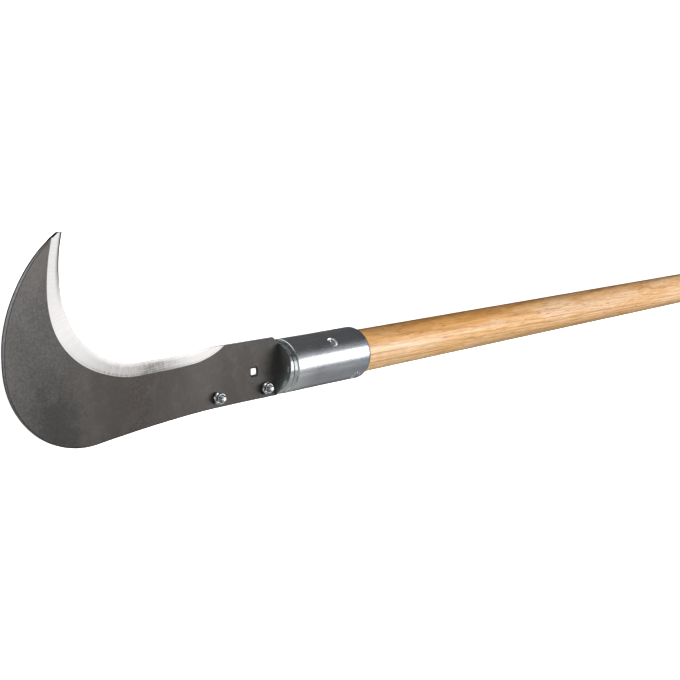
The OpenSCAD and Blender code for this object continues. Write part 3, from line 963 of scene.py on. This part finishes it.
def build_tube():
    built = Mesh()
    built.wrap([sagged(ring_x(x, r), sag) for x, r, sag in TUBE_FRONT], 2)
    profile = [TUBE_FRONT[-1][:2], (TUBE_FULL_X, SOCKET_R), (TAPER_X, SOCKET_R), (MOUTH_X - LIP, WIDE_R)]
    profile += rounding(MOUTH_X - LIP, WIDE_R, LIP, LIP_DEPTH, 14)
    profile += [(MOUTH_X, BORE_R + 0.3), (MOUTH_X - 0.3, BORE_R), TUBE_FRONT[0][:2]]
    built.wrap([ring_x(x, r) for x, r in profile])
    tube = make("tube", built, [TUBE_ZINC, TURNED, RING_ZINC], "socket_tube")
    tools = []
    for name, x, turn, spin, lean, _, _ in SCREWS:
        sink = Mesh()
        spun(sink, SINK, screw_frame(x, turn, spin, lean), 1)
        tools.append(loose(name + "_sink", sink, [TUBE_ZINC, TURNED]))
    cut(tube, tools, 11)


def thread_radius(a, z, pitch, outer, depth):
    """Radius of a screw thread at an angle and height."""
    turn = (z / pitch - a / (2 * pi)) % 1
    return outer - depth * abs(2 * turn - 1) ** 1.3


def build_screw(name, x, turn, spin, lean, lift, dome):
    place = screw_frame(x, turn, spin, lean, lift)
    built = Mesh()
    spun(built, [(r, -fall * dome) for r, fall in HEAD_DOME] + HEAD_UNDER, place)
    rings = []
    for z in np.arange(*SCREW_SHANK):
        rings.append(ring_z((0, 0), z, lambda a: thread_radius(a, z, *SCREW_THREAD), SCREW_STEPS))
    rings.append(ring_z((0, 0), *SCREW_POINT, SCREW_STEPS))
    built.shell([[place(p) for p in ring] for ring in rings])
    screw = make(name + "_cross", built, [BOLT_ZINC], name, sharp=35)
    tools = []
    for a in (0, pi / 2):
        recess = Mesh()
        rows = []
        for z, long, wide in CROSS:
            rows.append([place((u * cos(a) - v * sin(a), u * sin(a) + v * cos(a), z))
                         for u, v in rectangle((0, 0), long, wide)])
        recess.shell(rows)
        tools.append(loose(name + "_slot", recess))
    cut(screw, tools, 20)


def build_handle():
    built = Mesh()
    profile = [(HANDLE_X, CENTRE_R), (HANDLE_X, HANDLE_END_R - 0.5)]
    profile += [(HANDLE_X + 0.5, HANDLE_END_R), (MOUTH_X + 2.6, HANDLE_END_R)]
    profile += [(MOUTH_X + 3.3, HANDLE_END_R - 0.06), (-0.4, GRIP_R + 0.05), (0.4, GRIP_R)]
    profile += [(x, GRIP_R) for x in np.linspace(20, BUTT_X - BUTT_ROUND, 90)]
    profile += rounding(BUTT_X - BUTT_ROUND, GRIP_R, BUTT_ROUND, BUTT_ROUND, 12)
    profile.append((BUTT_X, CENTRE_R))
    built.wrap([ring_x(x, r, HANDLE_STEPS) for x, r in profile])
    make("ash_handle", built, [ASH], "handle")


def build_tongue():
    built = Mesh()
    low, high = BOLT_Y - TONGUE_HALF, BOLT_Y + TONGUE_HALF
    path = [(TONGUE_ROUND_X, low), (cap_place(low, 0), low), (cap_place(high, 0), high)]
    path += arc((TONGUE_ROUND_X, BOLT_Y), TONGUE_HALF, 90, 270, 40)[:-1]
    rim = inset(path, corner_normals(path), [TONGUE_EASE] * len(path))
    built.wrap(layers([(rim, BACK_Z), (path, BACK_Z - TONGUE_EASE),
                       (path, TONGUE_Z + TONGUE_EASE), (rim, TONGUE_Z)]))
    holes = [rectangle((x, BOLT_Y), HOLE_HALF, HOLE_HALF) for x in BOLT_XS]
    for hole in holes:
        built.wrap(layers([(hole, BACK_Z), (hole, TONGUE_Z)]))
    for z in (BACK_Z, TONGUE_Z):
        built.flat([rim] + holes, z)
    make("tongue_bar", built, [TUBE_ZINC], "tongue")


def bead(built, start, run, length, side):
    """A rippled run of weld in the corner between the cap's face and the tongue."""
    ahead = np.array([-1, 0, 0])
    steps = int(length / WELD_STEP)
    rows = []
    for i in range(steps + 1):
        t = length * i / steps
        wave = abs(sin(pi * t / WELD_RIPPLE))
        ends = min(1, 0.55 + min(t, length - t) / 2.5)
        size = WELD_LEG * (0.8 + 0.14 * wave) * ends
        foot = np.array(start) + np.array(run) * t
        row = [foot]
        for a in np.linspace(0, pi / 2, 9):
            swell = 1 - 0.16 * sin(2 * a)
            row.append(foot + (ahead * cos(a) + np.array(side) * sin(a)) * size * swell)
        rows.append(row)
    built.shell(rows)


def build_weld():
    built = Mesh()
    low, high = BOLT_Y - WELD_START, BOLT_Y + TONGUE_HALF
    bead(built, (cap_place(low, 3), low, TONGUE_Z), (CAP_TILT, 1, 0), WELD_LONG, (0, 0, -1))
    bead(built, (cap_place(high, 0), high, TONGUE_Z), (0, 0, 1), WELD_SHORT, (0, 1, 0))
    make("weld_bead", built, [TUBE_ZINC], "tongue_weld", sharp=50)


def build_bolt(name, node, x):
    built = Mesh()
    centre = (x, BOLT_Y)
    base = TONGUE_Z
    dome_r = (HEAD_R ** 2 + HEAD_TALL ** 2) / (2 * HEAD_TALL)
    half = asin(HEAD_R / dome_r)
    head = [(base - HEAD_TALL + dome_r * (1 - cos(t)), dome_r * sin(t))
            for t in np.linspace(0.02, half * 0.985, 14)]
    head += [(base - 0.02, HEAD_R), (base, HEAD_R - 0.15)]
    built.shell([ring_z(centre, z, r, HEAD_STEPS) for z, r in head])
    neck_top = base + NECK_TALL
    neck = rectangle(centre, NECK_HALF, NECK_HALF)
    built.shell(layers([(neck, base), (neck, neck_top)]))
    top = base + BOLT_LENGTH
    rows = []
    for z in np.arange(neck_top, top + 0.01, BOLT_STEP):
        limit = BOLT_THREAD[1] - max(0, z - (top - POINT_TALL)) * POINT_SLOPE

        def radius(a):
            return min(limit, thread_radius(a, z, *BOLT_THREAD))

        rows.append(ring_z(centre, z, radius, BOLT_STEPS))
    rows.append(ring_z(centre, top, BOLT_END_R, BOLT_STEPS))
    built.wrap(rows[:-POINT_ROWS], 1)
    built.wrap(rows[-POINT_ROWS - 1:])
    built.face(rows[0])
    built.face(rows[-1])
    make(name, built, [BOLT_ZINC, THREAD_ZINC], node, sharp=40)


def build_nut(name, node, x, turn):
    """Chamfered nut with a round collar that holds the locking ring."""
    built = Mesh()

    def hexagon(a):
        local = (a - turn) % (pi / 3) - pi / 6
        return min(NUT_FLATS / cos(local), NUT_CORNER_R)

    def drop(a):
        return (hexagon(a) - NUT_FLATS) * NUT_CHAMFER

    base = FRONT_Z
    crown = base + NUT_TALL
    top = base + NUT_TOP
    seat = top - RING_SUNK - RING_TALL
    outline = [
        (base, NUT_BORE_R), (base, NUT_FLATS - 0.05),
        (lambda a: base + drop(a), hexagon), (lambda a: crown - drop(a) - 0.1, hexagon),
        (crown - 0.02, NUT_FLATS - 0.08), (crown + 0.8, 4.4), (crown + 0.9, 4.35),
    ]
    for t in np.linspace(0, pi / 2, 7):
        height = top - COLLAR_ROUND + COLLAR_ROUND * sin(t)
        outline.append((height, COLLAR_R + COLLAR_ROUND * cos(t)))
    outline += [
        (top, 3.72), (top - RING_SUNK, 3.66), (top - RING_SUNK, RECESS_R),
        (seat, RECESS_R), (seat, RING_BORE_R), (base, NUT_BORE_R),
    ]
    built.wrap([ring_z((x, BOLT_Y), z, r, NUT_STEPS) for z, r in outline])
    make(name, built, [BOLT_ZINC], node, sharp=32)


def build_insert(name, node, x):
    built = Mesh()
    top = FRONT_Z + NUT_TOP - RING_SUNK
    seat = top - RING_TALL
    outline = [
        (seat, RING_BORE_R), (seat, RING_R), (top - 0.02, RING_R), (top, 3.6),
        (top - 0.05, 3.3), (top - 0.3, RING_BORE_R), (seat, RING_BORE_R),
    ]
    built.wrap([ring_z((x, BOLT_Y), z, r, RING_STEPS) for z, r in outline])
    make(name, built, [NYLON], node, sharp=40)


build_blade()
build_tongue()
build_weld()
build_cap()
build_tube()
build_handle()
for side, x, turn in zip(("front", "rear"), BOLT_XS, NUT_TURNS):
    build_bolt(side + "_carriage_bolt", side + "_bolt", x)
    build_nut(side + "_lock_nut", side + "_nut", x, turn)
    build_insert(side + "_lock_ring", side + "_nut_insert", x)
for screw in SCREWS:
    build_screw(*screw)

# The floor: its height, middle, flat part, the sweep into the wall, and the wall's height
FLOOR_Z = -24.3
FLOOR_C = (360, 50)
FLOOR_R = 3500
SWEEP = 2500
WALL = 6000

# Directions in the scene, the point that most lights face, and the way to the main light
ACROSS = Vector((0, 1, 0))
UPWARD = Vector((0, 0, 1))
AIM = Vector((-0.12, 0.01, 0.01))
KEY_WAY = (0.616, 0.012, 0.788)


def build_floor():
    """A wide floor that curves up into a wall all round, seen only by the camera."""
    built = Mesh()
    profile = [(FLOOR_R, 0)] + rounding(FLOOR_R, 0, SWEEP, -SWEEP, 16) + [(FLOOR_R + SWEEP, WALL)]
    rings = [ring_z(FLOOR_C, FLOOR_Z + up, r, FLOOR_STEPS) for r, up in profile]
    built.wrap(rings)
    built.face(rings[0])
    floor = loose("floor", built, [pale_floor()])
    floor.visible_glossy = floor.visible_diffuse = floor.visible_shadow = False


def posed(at, right, up, back):
    """Placement at a point with three axes."""
    return Matrix.Translation(Vector(at)) @ Matrix((right, up, back)).transposed().to_4x4()


def panel(name, at, look, wide, tall, radiance, upright):
    """A soft rectangular light that shines one way, with its height along the upright vector."""
    light = bpy.data.lights.new(name, "AREA")
    light.shape = "RECTANGLE"
    light.size = wide
    light.size_y = tall
    light.energy = radiance * pi * wide * tall
    lamp = shown(name, light)
    back = -look.normalized()
    right = upright.cross(back).normalized()
    lamp.matrix_world = posed(at, right, back.cross(right), back)
    lamp.visible_camera = False
    return lamp


def facing(name, way, distance, wide, tall, radiance, upright=ACROSS, shift=(0, 0, 0)):
    """A light that faces the socket from a way and a distance, less a small shift."""
    at = AIM + Vector(way).normalized() * distance - Vector(shift)
    return panel(name, at, AIM - at, wide, tall, radiance, upright)


def light_scene():
    world = bpy.data.worlds.new("studio")
    SCENE.world = world
    world.use_nodes = True
    sky = world.node_tree.nodes["Background"]
    sky.inputs["Color"].default_value = (1, 1, 1, 1)
    sky.inputs["Strength"].default_value = 0.12
    facing("key", KEY_WAY, 1.6, 1.22, 0.87, 2, shift=(0.079, 0, -0.062))
    facing("key_core", (0.82, 0.06, 0.57), 1.5, 0.26, 0.6, 6, shift=(0.034, 0, -0.049))
    facing("key_soft", KEY_WAY, 3.4, 2, 1.8, 10).visible_glossy = False
    mirrored = [
        panel("low_fill", (0.5, -1.5, 0.4), ACROSS, 3.8, 2.6, 0.26, UPWARD),
        facing("key_side", (0.7, 0.41, 0.58), 1.6, 1.42, 0.3, 0.4),
        facing("key_under", (0.69, -0.43, 0.58), 1.6, 1.42, 0.36, 0.36),
        panel("top_card", (-0.16, 1.25, -0.15), -ACROSS, 0.76, 2.2, 1.9, UPWARD),
    ]
    panel("floor_card", (-0.85, -0.47, -0.5), UPWARD, 1.3, 1.05, 1.2, ACROSS)
    facing("camera_fill", (-0.69, -0.15, 0.7), 1.5, 1.2, 1.2, 0.5)
    facing("left_card", (-0.6, 0.72, 0.25), 1.2, 0.5, 0.5, 0.5, UPWARD)
    mirrored.append(facing("rim_card", (-0.48, 0.1, 0.87), 1.5, 0.6, 0.5, 1))
    for lamp in mirrored:
        lamp.visible_diffuse = False


def place_camera():
    data = bpy.data.cameras.new("camera")
    data.sensor_width = 36
    data.lens = 55.59
    data.clip_start = 0.01
    data.clip_end = 60
    camera = shown("camera", data)
    right = Vector((0.6723, -0.0369, 0.7394))
    up = Vector((0.1211, 0.9908, -0.0606))
    back = right.cross(up).normalized()
    up = back.cross(right).normalized()
    camera.matrix_world = posed((-0.7471, 0.1431, 0.666), right.normalized(), up, back)
    SCENE.camera = camera


build_floor()
light_scene()
place_camera()
SCENE.view_settings.view_transform = "Standard"
